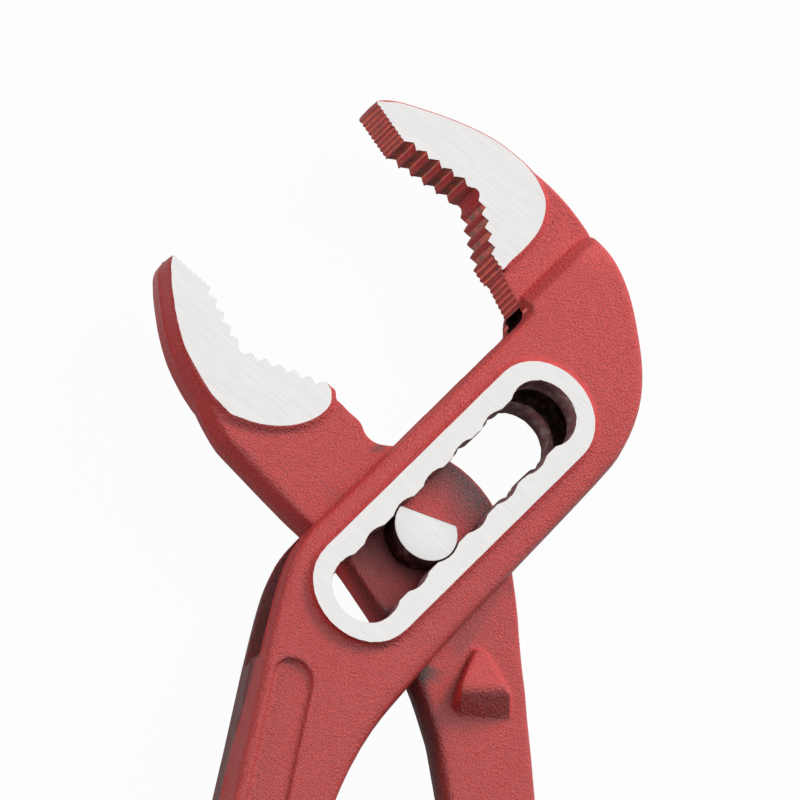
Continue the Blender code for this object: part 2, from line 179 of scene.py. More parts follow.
def groundSteel():
    material, tree, surface, place = newMaterial("groundSteel")
    look = steelLook
    turned = addNode(
        tree, "ShaderNodeMapping", {"Vector": place, "Rotation": (0, 0, math.radians(look["angle"]))}
    )
    squeezed = addNode(
        tree, "ShaderNodeMapping", {"Vector": turned.outputs["Vector"], "Scale": (look["stretch"], 1, 1)}
    )
    scratch = addNode(
        tree, "ShaderNodeTexNoise",
        {
            "Vector": squeezed.outputs["Vector"], "Scale": perMetre(look["scratch"]),
            "Detail": 4.0, "Roughness": 0.65,
        },
    )
    least, most = look["tone"]
    tone = addNode(
        tree, "ShaderNodeMapRange", {"Value": scratch.outputs["Fac"], "From Min": least, "From Max": most}
    )
    colour = addNode(
        tree, "ShaderNodeMix",
        {"Factor": tone.outputs["Result"], "A": hexColour(look["dull"]), "B": hexColour(look["bright"])},
        data_type="RGBA",
    )
    tree.links.new(colour.outputs["Result"], surface.inputs["Base Color"])
    bump = addNode(
        tree, "ShaderNodeBump",
        {"Height": scratch.outputs["Fac"], "Strength": 0.1, "Distance": look["rise"] * mm},
    )
    tree.links.new(bump.outputs["Normal"], surface.inputs["Normal"])
    surface.inputs["Metallic"].default_value = 1.0
    surface.inputs["Roughness"].default_value = look["rough"]
    return material


# hardened, broached teeth: thin red coat over brown heat scale, more of it on the fine teeth than on the coarse
toothLook = dict(
    coat="#E87C6E", scale="#A07A6E", coarse=0.52, fine=0.4, spread=0.12,
    blot=1.3, rise=0.05, rough=0.45, gloss=0.4,
)


def broachedTeeth(name, bare):
    material, tree, surface, place = newMaterial(name)
    look = toothLook
    blot = addNode(
        tree, "ShaderNodeTexNoise", {"Vector": place, "Scale": perMetre(look["blot"]), "Detail": 4.0}
    )
    least, most = bare - look["spread"], bare + look["spread"]
    share = addNode(
        tree, "ShaderNodeMapRange", {"Value": blot.outputs["Fac"], "From Min": least, "From Max": most}
    )
    colour = addNode(
        tree, "ShaderNodeMix",
        {"Factor": share.outputs["Result"], "A": hexColour(look["scale"]), "B": hexColour(look["coat"])},
        data_type="RGBA",
    )
    tree.links.new(colour.outputs["Result"], surface.inputs["Base Color"])
    bump = addNode(
        tree, "ShaderNodeBump",
        {"Height": blot.outputs["Fac"], "Strength": 0.2, "Distance": look["rise"] * mm},
    )
    tree.links.new(bump.outputs["Normal"], surface.inputs["Normal"])
    surface.inputs["Specular IOR Level"].default_value = look["gloss"]
    surface.inputs["Roughness"].default_value = look["rough"]
    return material


# black oxide with oil: the blued wall of the bolt and the bare channel, dark with a brown cast
oxideLook = dict(dark="#3A2826", worn="#7A5E59", share=(0.48, 0.72), blot=1.1, rough=0.4, metal=0.35)
# the slot's walls: milled steel with oil and a stain of the red coat, so a dull plum brown
stainLook = dict(dark="#926466", worn="#C6AEAC", share=(0.48, 0.72), blot=1.6, rough=0.42, metal=0.25)


def oiledSteel(name, look):
    material, tree, surface, place = newMaterial(name)
    blot = addNode(
        tree, "ShaderNodeTexNoise", {"Vector": place, "Scale": perMetre(look["blot"]), "Detail": 5.0}
    )
    least, most = look["share"]
    share = addNode(
        tree, "ShaderNodeMapRange", {"Value": blot.outputs["Fac"], "From Min": least, "From Max": most}
    )
    colour = addNode(
        tree, "ShaderNodeMix",
        {"Factor": share.outputs["Result"], "A": hexColour(look["dark"]), "B": hexColour(look["worn"])},
        data_type="RGBA",
    )
    tree.links.new(colour.outputs["Result"], surface.inputs["Base Color"])
    surface.inputs["Metallic"].default_value = look["metal"]
    surface.inputs["Roughness"].default_value = look["rough"]
    return material


coat, steel = powderCoat(), groundSteel()
oxide, stain = oiledSteel("blackOxide", oxideLook), oiledSteel("stainedSteel", stainLook)
coarseTeeth = broachedTeeth("broachedCoarse", toothLook["coarse"])
fineTeeth = broachedTeeth("broachedFine", toothLook["fine"])
print("materials made")


def cadMesh(node):
    bm = bmesh.new()
    bm.from_mesh(frame["nodes"][node].data)
    bmesh.ops.remove_doubles(bm, verts=bm.verts, dist=1e-3 * mm)
    return bm


def addObject(name, data):
    thing = bpy.data.objects.new(name, data)
    bpy.context.scene.collection.objects.link(thing)
    return thing


def bmObject(name, bm):
    mesh = bpy.data.meshes.new(name)
    bm.to_mesh(mesh)
    bm.free()
    return addObject(name, mesh)


def settle(piece):  # live modifiers become plain mesh
    bpy.context.view_layer.update()
    seen = piece.evaluated_get(bpy.context.evaluated_depsgraph_get())
    mesh = bpy.data.meshes.new_from_object(seen)
    piece.modifiers.clear()
    old, piece.data = piece.data, mesh
    bpy.data.meshes.remove(old)


def readPoints(mesh):
    found = np.empty(len(mesh.vertices) * 3)
    mesh.vertices.foreach_get("co", found)
    return found.reshape(-1, 3)


def movePoints(mesh, spots):
    mesh.vertices.foreach_set("co", spots.ravel())
    mesh.update()


def readNormals(mesh):
    found = np.empty(len(mesh.vertices) * 3)
    mesh.vertex_normals.foreach_get("vector", found)
    return found.reshape(-1, 3)


def readEdges(mesh):  # the two points of each edge
    found = np.empty(len(mesh.edges) * 2, int)
    mesh.edges.foreach_get("vertices", found)
    return found.reshape(-1, 2)


def triangles(mesh):
    return sum(len(p.vertices) - 2 for p in mesh.polygons)


def keepValues(piece, label, values):  # one number at each point, for a material to read
    kept = piece.data.attributes.new(label, "FLOAT", "POINT")
    kept.data.foreach_set("value", values)


def slotPlaces(spots):  # u along the slot and v across it, from the pivot
    flat = spots[:, :2] - np.array(pivot.xy)
    return flat @ np.array(slotWay.xy), flat @ np.array(slotAcross.xy)


# most at the spot and 1 less with each radius away from it; a spot is (u, v, radius) in millimetres
def fromSpot(u, v, spot, most):
    return most - np.hypot(u - spot[0] * mm, v - spot[1] * mm) / (spot[2] * mm)


def outlinesAt(node, height):  # the loops of a level cut through a solid, counter-clockwise
    bm = cadMesh(node)
    cut = bmesh.ops.bisect_plane(
        bm, geom=bm.verts[:] + bm.edges[:] + bm.faces[:], plane_co=(0, 0, height), plane_no=(0, 0, 1)
    )
    left = {e for e in cut["geom_cut"] if isinstance(e, bmesh.types.BMEdge)}
    loops = []
    while left:
        edge = left.pop()
        loop = list(edge.verts)
        step = edge
        while step and loop[0] is not loop[-1]:
            step = next((e for e in loop[-1].link_edges if e in left), None)
            if step:
                left.discard(step)
                loop.append(step.other_vert(loop[-1]))
        line = np.array([v.co.xy for v in loop[:-1]])
        area = np.sum(line[:, 0] * np.roll(line[:, 1], -1) - np.roll(line[:, 0], -1) * line[:, 1])
        loops.append(line if area > 0 else line[::-1])
    bm.free()
    return loops


def turns(loop):  # degrees turned at each point of a closed outline
    ahead = np.roll(loop, -1, axis=0) - loop
    before = np.roll(ahead, 1, axis=0)
    cross = before[:, 0] * ahead[:, 1] - before[:, 1] * ahead[:, 0]
    return np.degrees(np.arctan2(cross, np.sum(before * ahead, axis=1)))


# the gaps between the teeth: one wedge at each root of the run, cut out of the forging
gapLook = dict(
    slight=3, root=-45, skip=8, apart=3.2,  # reading the run: degrees of turn, points, millimetres
    bite=0.1, crest=0.2, over=1.12, coarse=1.4, past=1,
)


def toothedRun(loops):  # the longest stretch of the outlines that zigzags
    look = gapLook
    found = []
    for loop in loops:
        loop = loop[np.abs(turns(loop)) > look["slight"]]
        roots = np.flatnonzero(turns(loop) < look["root"])
        roots = np.concatenate((roots, roots + len(loop)))  # twice round, so that no run is cut at the seam
        for run in np.split(roots, np.flatnonzero(np.diff(roots) > look["skip"]) + 1):
            gap = lambda i, j: np.hypot(*(loop[run[i] % len(loop)] - loop[run[j] % len(loop)]))
            while len(run) > 1 and gap(0, 1) > look["apart"] * mm:  # a lone corner beside the teeth
                run = run[1:]
            if len(run):
                found.append(loop[np.arange(run[0] - 1, run[-1] + 2) % len(loop)])
    return max(found, key=len)


def wedge():  # root edge on Z, opening along +X to a width of 2
    bm = bmesh.new()
    for z in (-1, 1):
        bm.faces.new([bm.verts.new(p) for p in ((0, 0, z), (1, -1, z), (1, 1, z))])
    bmesh.ops.bridge_loops(bm, edges=bm.edges[:])
    bmesh.ops.recalc_face_normals(bm, faces=bm.faces)
    return bmObject("wedge", bm)


def gapTree():
    tree = bpy.data.node_groups.new("toothGaps", "GeometryNodeTree")
    socket = tree.interface.new_socket
    socket("Roots", in_out="INPUT", socket_type="NodeSocketGeometry")
    socket("Wedge", in_out="INPUT", socket_type="NodeSocketObject")
    socket("Half Length", in_out="INPUT", socket_type="NodeSocketFloat")
    socket("Material", in_out="INPUT", socket_type="NodeSocketMaterial")
    socket("Gaps", in_out="OUTPUT", socket_type="NodeSocketGeometry")
    given = addNode(tree, "NodeGroupInput").outputs
    way = addNode(tree, "GeometryNodeInputNamedAttribute", {"Name": "way"}, data_type="FLOAT_VECTOR")
    deep = addNode(tree, "GeometryNodeInputNamedAttribute", {"Name": "deep"}, data_type="FLOAT")
    wide = addNode(tree, "GeometryNodeInputNamedAttribute", {"Name": "wide"}, data_type="FLOAT")
    turn = addNode(
        tree, "FunctionNodeAlignRotationToVector", {"Vector": way.outputs["Attribute"]},
        axis="X", pivot_axis="Z",
    )
    size = addNode(
        tree, "ShaderNodeCombineXYZ",
        {"X": deep.outputs["Attribute"], "Y": wide.outputs["Attribute"], "Z": given["Half Length"]},
    )
    shape = addNode(tree, "GeometryNodeObjectInfo", {"Object": given["Wedge"]})
    put = addNode(
        tree, "GeometryNodeInstanceOnPoints",
        {
            "Points": given["Roots"], "Instance": shape.outputs["Geometry"],
            "Rotation": turn.outputs["Rotation"], "Scale": size.outputs["Vector"],
        },
    )
    real = addNode(tree, "GeometryNodeRealizeInstances", {"Geometry": put.outputs["Instances"]})
    finish = addNode(
        tree, "GeometryNodeSetMaterial", {"Geometry": real.outputs["Geometry"], "Material": given["Material"]}
    )
    addNode(tree, "NodeGroupOutput", {"Gaps": finish.outputs["Geometry"]})
    return tree


def toothGaps(name, run, material, wanted, halfLength):
    look = gapLook
    crestChords = np.hypot(*(run[2:] - run[:-2]).T)
    turning = turns(run)[1:-1]
    roots = np.flatnonzero(turning < look["root"])
    chosen = [i + 1 for i in roots if wanted(crestChords[i])]
    mesh = bpy.data.meshes.new(name)
    spots, ways, deeps, wides = [], [], [], []
    for i in chosen:
        middle = (run[i - 1] + run[i + 1]) / 2
        deep = np.hypot(*(middle - run[i]))
        way = (middle - run[i]) / deep
        spot = run[i] - way * look["bite"] * mm
        spots.append((spot[0], spot[1], pivot.z))
        ways.append((way[0], way[1], 0))
        deeps.append((deep + look["bite"] * mm) * look["over"])
        wides.append((crestChords[i - 1] / 2 - look["crest"] * mm / 2) * look["over"])
    mesh.from_pydata(spots, [], [])
    for label, kind, field, values in (
        ("way", "FLOAT_VECTOR", "vector", ways),
        ("deep", "FLOAT", "value", deeps),
        ("wide", "FLOAT", "value", wides),
    ):
        mesh.attributes.new(label, kind, "POINT").data.foreach_set(field, np.ravel(values))
    piece = addObject(name, mesh)
    nodes = piece.modifiers.new("gaps", "NODES")
    nodes.node_group = gaps
    given = {"Wedge": wedgeShape, "Half Length": halfLength, "Material": material}
    for item in gaps.interface.items_tree:
        if item.name in given:
            nodes[item.identifier] = given[item.name]
    settle(piece)
    return piece


def nearness(spots, line, reach):  # 1 on the line and 0 from this far off
    dense = np.concatenate([np.linspace(a, b, 6) for a, b in zip(line, line[1:])])
    least = np.full(len(spots), np.inf)
    for chunk in np.array_split(dense, max(1, len(dense) // 40)):
        gap = np.hypot(spots[:, None, 0] - chunk[None, :, 0], spots[:, None, 1] - chunk[None, :, 1])
        least = np.minimum(least, gap.min(axis=1))
    return np.clip(1 - least / reach, 0, 1)


def soften(mesh, rounds, free):  # each free point drifts to the middle of its neighbours
    spots = readPoints(mesh)
    pairs = readEdges(mesh)
    a, b = pairs[(free[pairs] > 0).any(axis=1)].T
    count = np.maximum(1, np.bincount(a, minlength=len(spots)) + np.bincount(b, minlength=len(spots)))
    for _ in range(rounds):
        for axis in range(3):
            value = spots[:, axis]
            total = np.bincount(a, value[b], len(spots)) + np.bincount(b, value[a], len(spots))
            spots[:, axis] = value + 0.5 * free * (total / count - value)
    movePoints(mesh, spots)


# cut a face flat and give it bare steel; inside picks the points that the wheel may touch
def grind(piece, height, side, inside):
    bm = bmesh.new()
    bm.from_mesh(piece.data)
    far = {v for v, yes in zip(bm.verts, inside(readPoints(piece.data))) if yes}
    faces = [f for f in bm.faces if all(v in far for v in f.verts)]
    edges = list({e for f in faces for e in f.edges})
    verts = list({v for f in faces for v in f.verts})
    cut = bmesh.ops.bisect_plane(
        bm, geom=verts + edges + faces, dist=1e-4 * mm,
        plane_co=(0, 0, height), plane_no=(0, 0, side), clear_outer=True,
    )
    rim = [e for e in cut["geom_cut"] if isinstance(e, bmesh.types.BMEdge)]
    made = bmesh.ops.triangle_fill(bm, use_beauty=True, use_dissolve=False, edges=rim, normal=(0, 0, side))
    slot = list(piece.data.materials).index(steel)
    made = [f for f in made["geom"] if isinstance(f, bmesh.types.BMFace)]
    for face in made:
        face.material_index = slot
        face.smooth = False
    for edge in rim:
        edge.smooth = False
    bmesh.ops.recalc_face_normals(bm, faces=made)
    bm.to_mesh(piece.data)
    bm.free()


# forged skin, in millimetres, with rounds of smoothing and the most triangles kept
forgeLook = dict(
    voxel=0.2, keepTeeth=1.2, rounds=5, extra=30, edgeRounds=60, edgeWide=7, most=165000, sharp=40,
    reach=5.0, flash=0.22, line=0.22, ground=0.06, landDeep=0.6,
)


# walls lean out to the parting line, with a trimmed flash; inset slims the left side
def drawWalls(mesh, where, draft, inset):
    look = forgeLook
    spots = readPoints(mesh)
    normals = readNormals(mesh)
    upright = np.clip(1.6 - 3 * np.abs(normals[:, 2]), 0, 1) * where(spots)
    away = np.abs(spots[:, 2] - pivot.z) / mm
    out = draft * (0.5 - away / look["reach"]) + look["flash"] * np.exp(-((away / look["line"]) ** 2))
    out -= inset * np.clip(-2 * normals[:, 0], 0, 1)
    spots[:, :2] += normals[:, :2] * (upright * out * mm)[:, None]
    movePoints(mesh, spots)


def fullEdges(mesh, where):  # a band along the edges that the die left full
    a, b = readEdges(mesh).T
    allowed = where(readPoints(mesh))
    band = np.clip(1.5 - np.abs(np.abs(readNormals(mesh)[:, 2]) - 0.7) / 0.2, 0, 1) * allowed
    for _ in range(forgeLook["edgeWide"]):
        wider = band.copy()
        np.maximum.at(wider, a, band[b])
        np.maximum.at(wider, b, band[a])
        band = wider
    return band * allowed


def cutAway(piece, cutter):
    cut = piece.modifiers.new("cut", "BOOLEAN")
    cut.operation = "DIFFERENCE"
    cut.solver = "EXACT"
    cut.object = cutter
    cut.material_mode = "TRANSFER"
    settle(piece)
    bpy.data.objects.remove(cutter)


# stop lugs on the inner arm: corners in millimetres from the pivot, a steep stop face below a long back
lugLook = dict(
    low=2.0, centre=(8.4, -24.5), reach=10.5, armHalf=2.75,
    foot=(
        (7.9, -17.8), (9.9, -17.8), (11.9, -20.0), (14.1, -24.6),
        (13.6, -30.4), (4.4, -30.7), (3.3, -28.7), (3.8, -25.9),
    ),
    top=(
        (8.1, -18.6, 3.9), (9.4, -18.4, 3.9), (3.9, -25.4, 5.7),
        (11.6, -25.4, 5.7), (12.6, -26.4, 5.3), (3.6, -27.0, 5.5),
    ),
)


def lug(side):
    look = lugLook
    bm = bmesh.new()
    for x, y, z in [(x, y, look["low"]) for x, y in look["foot"]] + list(look["top"]):
        bm.verts.new(pivot + Vector((x, y, side * z)) * mm)
    bmesh.ops.convex_hull(bm, input=bm.verts)
    bmesh.ops.recalc_face_normals(bm, faces=bm.faces)
    return bmObject("lug", bm)


def dropLugs(bm):  # the solid's own lugs go flat, and the ones above stand in their place
    look = lugLook
    for v in bm.verts:
        place = (v.co - pivot) / mm
        if abs(place.z) > look["armHalf"] and (place.xy - Vector(look["centre"])).length < look["reach"]:
            v.co.z = pivot.z + math.copysign(look["armHalf"], place.z) * mm


slotLook = dict(longer=0.6, land=9.3, ease=3)  # the slot's blind end runs on a little past the first notch


def lengthenSlot(bm):
    look = slotLook
    for v in bm.verts:
        u = (v.co - pivot).dot(slotWay) - firstNotch
        away = (v.co - pivot - slotWay * firstNotch).xy.length
        if u < 0 and away < look["land"] * mm:
            v.co -= slotWay * look["longer"] * mm * min(1, -u / (look["ease"] * mm))


# the blind end of the channel, which shows as a dark hole under the last teeth
pocketLook = dict(u=45.1, v=12.5, radius=2.0, half=2.7, sides=24)


def pocket():
    look = pocketLook
    centre = pivot + slotWay * look["u"] * mm + slotAcross * look["v"] * mm
    radius = look["radius"] * mm
    bm = bmesh.new()
    bmesh.ops.create_cone(
        bm, cap_ends=True, segments=look["sides"], radius1=radius, radius2=radius,
        depth=2 * look["half"] * mm, matrix=Matrix.Translation(centre),
    )
    piece = bmObject("pocket", bm)
    piece.data.materials.append(oxide)
    return piece


# the slope from the top of the box down to the jaw's neck: u and v in the slot's frame, z from the middle plane
slopeLook = dict(start=43, end=72, inner=13.3, outer=15.6, top=5.75, foot=2.72, over=3)


def slopeCut(side):
    look = slopeLook
    far, above = look["outer"] + look["over"], look["top"] + look["over"]
    section = [
        (look["inner"], look["top"]), (look["outer"], look["foot"]), (far, look["foot"]),
        (far, above), (look["inner"], above),
    ]
    bm = bmesh.new()
    ends = []
    for u in (look["start"], look["end"]):
        corners = [slotWay * u + slotAcross * v + Vector((0, 0, side * z)) for v, z in section]
        ends.append([bm.verts.new(pivot + corner * mm) for corner in corners])
        bm.faces.new(ends[-1])
    for i in range(len(section)):
        bm.faces.new((ends[0][i - 1], ends[0][i], ends[1][i], ends[1][i - 1]))
    bmesh.ops.recalc_face_normals(bm, faces=bm.faces)
    return bmObject("slopeCut", bm)


def forging(node, name, run, refit, extras, cuts, walls, draft, inset, rounder, edges):
    look = forgeLook
    bm = cadMesh(node)
    refit(bm)
    for extra in extras:
        bm.from_mesh(extra.data)
        bpy.data.objects.remove(extra)
    piece = bmObject(name, bm)
    for cutter in cuts:
        cutAway(piece, cutter)
    remesh = piece.modifiers.new("skin", "REMESH")
    remesh.mode = "VOXEL"
    remesh.voxel_size = look["voxel"] * mm
    settle(piece)
    spots = readPoints(piece.data)
    free = 1 - np.minimum(1, 2 * nearness(spots, run, look["keepTeeth"] * mm))
    soften(piece.data, look["rounds"], free)
    drawWalls(piece.data, walls, draft, inset)
    soften(piece.data, 1, free)
    soften(piece.data, look["extra"], free * rounder(readPoints(piece.data)))
    soften(piece.data, look["edgeRounds"], free * fullEdges(piece.data, edges))
    count = triangles(piece.data)
    thin = piece.modifiers.new("thin", "DECIMATE")
    thin.ratio = min(1, look["most"] / count)
    settle(piece)
    piece.data.materials.clear()  # the cuts leave an empty one
    for material in (coat, steel, oxide, stain, coarseTeeth, fineTeeth):
        piece.data.materials.append(material)
    for label, material, wanted in (
        ("Coarse", coarseTeeth, lambda chord: chord > gapLook["coarse"] * mm),
        ("Fine", fineTeeth, lambda chord: chord <= gapLook["coarse"] * mm),
    ):
        cutAway(piece, toothGaps(name + label, run, material, wanted, jawHalf + gapLook["past"] * mm))
    piece.data.shade_smooth()
    piece.data.set_sharp_from_angle(angle=math.radians(look["sharp"]))
    print(name, "forged:", count, "down to", triangles(piece.data))
    return piece


# the outer arm, in millimetres: u and v in the slot's frame, z from the middle plane; a spot is (u, v, radius)
outerLook = dict(
    level=2.5, draft=0.2, inset=0.3, slotClear=8, teethClear=2.5,
    slopeEnd=(63.5, 14, 3.5), tip=(54, 54, 3.0), rim=0.5, landFoot=9.2, footWide=0.7, footLow=0.4, footSoft=0.2,
    landClear=10.6, cheek=3.2, handle=-42, jaw=16, jawFade=(15.5, 3), jawShare=0.42, panelClear=4.2,
    sink=(64, 14.5, 4), sinkShare=0.2, pad=17,
)
# the inner arm, in millimetres from the pivot; a spot is (x, y, radius), and a clear is in radii
innerLook = dict(
    level=2.6, draft=0.6, inset=0, head=(0, 0, 4), headClear=4.7, teethClear=2.5,
    lug=(8.6, -25, 4), lugShare=0.3, jawBack=(-36.5, 23, 4),
    lugEdge=(8.4, -24.5, 2), lugClear=3.6, jawFade=3, jawShare=0.36, pad=12,
)
# the handle panel's middle line in the slot's frame, from its upper end, and its half width
panelLook = dict(start=(-37.1, -2.0), angle=208.4, length=27.6, half=3.2)

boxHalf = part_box("outer_arm")[1].z - pivot.z  # from the middle plane to the land round the slot
jawHalf = 3.45 * mm  # half the thickness over the ground pads
wedgeShape, gaps = wedge(), gapTree()
outerRun = toothedRun(outlinesAt("outer_arm", pivot.z + outerLook["level"] * mm))
innerRun = toothedRun(outlinesAt("inner_arm", pivot.z + innerLook["level"] * mm))
print("teeth found:", len(outerRun), len(innerRun))


def outerWalls(spots):  # clear of the slot and of the teeth
    u, v = slotPlaces(spots)
    clear = outerLook["slotClear"] * mm
    slot = (np.abs(v) < clear) & (u > firstNotch - clear) & (u < lastNotch + clear)
    return (1 - nearness(spots, outerRun, outerLook["teethClear"] * mm)) * ~slot


def innerWalls(spots):  # clear of the head inside the box and of the teeth
    x, y = spots[:, 0] - pivot.x, spots[:, 1] - pivot.y
    far = np.clip(-fromSpot(x, y, innerLook["head"], innerLook["headClear"]), 0, 1)
    return (1 - nearness(spots, innerRun, innerLook["teethClear"] * mm)) * far


def panelRim(u, v):  # how far from the panel's rim, and from its middle line
    look = panelLook
    turn = math.radians(look["angle"])
    du, dv = u - look["start"][0] * mm, v - look["start"][1] * mm
    along = np.clip(du * math.cos(turn) + dv * math.sin(turn), 0, look["length"] * mm)
    away = np.hypot(du - along * math.cos(turn), dv - along * math.sin(turn))
    return np.abs(away - look["half"] * mm), away


def outerRounds(spots):  # where the slope runs out, the jaw's blunt tip, the panel's rim, the foot of the land
    look = outerLook
    u, v = slotPlaces(spots)
    corner = fromSpot(u, v, look["slopeEnd"], 1.3)
    tip = fromSpot(u, v, look["tip"], 1.2)
    rim = 0.3 * np.clip(2.4 - panelRim(u, v)[0] / (look["rim"] * mm), 0, 1)
    reach = np.hypot(np.clip(u, firstNotch - slotLook["longer"] * mm, lastNotch) - u, v)
    height = np.abs(spots[:, 2] - pivot.z)
    low = np.clip((boxHalf - look["footLow"] * mm - height) / (look["footSoft"] * mm), 0, 1)
    foot = low * np.clip(2.5 - np.abs(reach - look["landFoot"] * mm) / (look["footWide"] * mm), 0, 1)
    return np.clip(np.maximum.reduce((corner, tip, rim, foot)), 0, 1)


def innerRounds(spots):  # the lugs, whose edges the die left full, and the back of the jaw above the arm
    look = innerLook
    x, y = spots[:, 0] - pivot.x, spots[:, 1] - pivot.y
    stop = look["lugShare"] * np.clip(fromSpot(x, y, look["lug"], 3), 0, 1)
    back = fromSpot(x, y, look["jawBack"], 1.5)
    return np.clip(np.maximum(stop, back), 0, 1)


def outerEdges(spots):  # box and handle, clear of the land and of the panel, and a little along the jaw
    look = outerLook
    u, v = slotPlaces(spots)
    reach = np.hypot(np.clip(u, firstNotch, lastNotch) - u, v)
    height = np.abs(spots[:, 2] - pivot.z)
    outside = (height > look["cheek"] * mm) | (u < look["handle"] * mm) | (v > look["jaw"] * mm)
    start, fade = look["jawFade"]
    jaw = np.clip((start * mm - v) / (fade * mm), look["jawShare"], 1)
    panel = panelRim(u, v)[1] > look["panelClear"] * mm
    return outerWalls(spots) * (reach > look["landClear"] * mm) * jaw * outside * panel


def innerEdges(spots):  # the arm and its handle, clear of the head and of the lugs, and a little along the jaw
    look = innerLook
    x, y = spots[:, 0] - pivot.x, spots[:, 1] - pivot.y
    lugs = np.clip(-fromSpot(x, y, look["lugEdge"], look["lugClear"]), 0, 1)
    return innerWalls(spots) * lugs * np.clip(5 - y / (look["jawFade"] * mm), look["jawShare"], 1)


outerArm = forging(
    "outer_arm", "outerForging", outerRun, lengthenSlot, [], [slopeCut(1), slopeCut(-1)],
    outerWalls, outerLook["draft"], outerLook["inset"], outerRounds, outerEdges,
)
innerArm = forging(
    "inner_arm", "innerForging", innerRun, dropLugs, [lug(1), lug(-1)], [],
    innerWalls, innerLook["draft"], innerLook["inset"], innerRounds, innerEdges,
)
cutAway(outerArm, pocket())


def sinkCorner(piece):  # the slope's outer end runs out low at the back of the neck
    spots = readPoints(piece.data)
    u, v = slotPlaces(spots)
    low = outerLook["sinkShare"] * np.exp(-(fromSpot(u, v, outerLook["sink"], 0) ** 2))
    spots[:, 2] -= low * (spots[:, 2] - pivot.z)
    movePoints(piece.data, spots)


sinkCorner(outerArm)

for side in (1, -1):
    level = pivot.z + side * (jawHalf - forgeLook["ground"] * mm)
    grind(outerArm, level, side, lambda p: slotPlaces(p)[1] > outerLook["pad"] * mm)
    grind(innerArm, level, side, lambda p: p[:, 1] > innerLook["pad"] * mm)
    land = pivot.z + side * (boxHalf - forgeLook["ground"] * mm)
    grind(outerArm, land, side, lambda p: side * (p[:, 2] - pivot.z) > boxHalf - forgeLook["landDeep"] * mm)
bpy.data.objects.remove(wedgeShape)
print("pads and lands ground")


# what was milled after painting, in millimetres in the slot's frame
millLook = dict(slot=6.1, middle=2.7, channelHalf=3.1, channelWide=9, channelStart=-17, endWide=11, ends=(20, 49))


def oxideInside(piece):  # the slot's walls and the channel between the cheeks
    look = millLook
    mesh = piece.data
    count = len(mesh.polygons)
    centres, normals, slots = np.empty(count * 3), np.empty(count * 3), np.empty(count, int)
    mesh.polygons.foreach_get("center", centres)
    mesh.polygons.foreach_get("normal", normals)
    mesh.polygons.foreach_get("material_index", slots)
    centres, normals = centres.reshape(-1, 3), normals.reshape(-1, 3)
    u, v = slotPlaces(centres)
    height = centres[:, 2] - pivot.z
    reach = np.clip(u, firstNotch, lastNotch) - u
    inSlot = (np.hypot(reach, v) < look["slot"] * mm) & (np.abs(height) < boxHalf)
    middle = np.abs(height) < look["middle"] * mm
    inChannel = (np.abs(height) < look["channelHalf"] * mm) & (height * normals[:, 2] < 0)
    inChannel &= (np.abs(v) < look["channelWide"] * mm) & (u > look["channelStart"] * mm)
    start, end = look["ends"]
    endWalls = middle & (np.abs(v) < look["endWide"] * mm) & (u > start * mm) & (u < end * mm)
    painted = slots == list(mesh.materials).index(coat)
    slots[painted & (inChannel | endWalls)] = list(mesh.materials).index(oxide)
    slots[painted & inSlot] = list(mesh.materials).index(stain)
    mesh.polygons.foreach_set("material_index", slots)


oxideInside(outerArm)

headLook = dict(edge=0.22, steps=40, sharp=30)


def boltHead(node, name):  # a D with a broken edge, ground on its face
    look = headLook
    low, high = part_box(node)
    source = cadMesh(node)
    radius = max((v.co.xy - pivot.xy).length for v in source.verts)
    side = max((f for f in source.faces if abs(f.normal.z) < 0.1), key=lambda f: f.calc_area())
    flat = side.normal.copy()
    start = math.acos((side.verts[0].co - pivot).dot(flat) / radius)
    source.free()
    heading = math.atan2(flat.y, flat.x)
    bm = bmesh.new()
    line = []
    for i in range(look["steps"] + 1):
        angle = heading + start + (2 * math.pi - 2 * start) * i / look["steps"]
        x, y = pivot.x + radius * math.cos(angle), pivot.y + radius * math.sin(angle)
        line.append(bm.verts.new((x, y, low.z)))
    foot = bm.faces.new(line)
    raised = bmesh.ops.extrude_face_region(bm, geom=[foot])["geom"]
    raised = [v for v in raised if isinstance(v, bmesh.types.BMVert)]
    bmesh.ops.translate(bm, verts=raised, vec=(0, 0, high.z - low.z))
    bmesh.ops.recalc_face_normals(bm, faces=bm.faces)
    outside = high.z if high.z - pivot.z > pivot.z - low.z else low.z
    upright = [e for e in bm.edges if abs(e.verts[0].co.z - e.verts[1].co.z) > 1e-6]
    rim = [e for e in bm.edges if all(abs(v.co.z - outside) < 1e-6 for v in e.verts)]
    corners = [e for e in upright if e.calc_face_angle() > 0.5]
    bmesh.ops.bevel(bm, geom=rim + corners, offset=look["edge"] * mm, segments=2, profile=0.5, affect="EDGES")
    piece = bmObject(name, bm)
    for material in (oxide, steel):
        piece.data.materials.append(material)
    for face in piece.data.polygons:
        face.material_index = 1 if abs(face.normal.z) > 0.9 else 0
    piece.data.shade_smooth()
    piece.data.set_sharp_from_angle(angle=math.radians(look["sharp"]))
    return piece


frontHead = boltHead("front_bolt_head", "frontBoltHead")
rearHead = boltHead("rear_bolt_head", "rearBoltHead")
print("bolt heads made")

# where the coat is rough, and where painted shade darkens it, in millimetres: u and v in the slot's frame,
# heights from the middle plane
outerSkinAndShade = dict(
    slope=14.4, slopeWide=0.55, slopeStart=45, slopeFoot=2.5,
    wall=0.8, wallStart=-22, wallSoft=0.3, slitHalf=2.85, slitEnd=-36, runOut=16,
    inside=0.7, insideHalf=2.95, rim=0.32, rimWide=0.35,
)


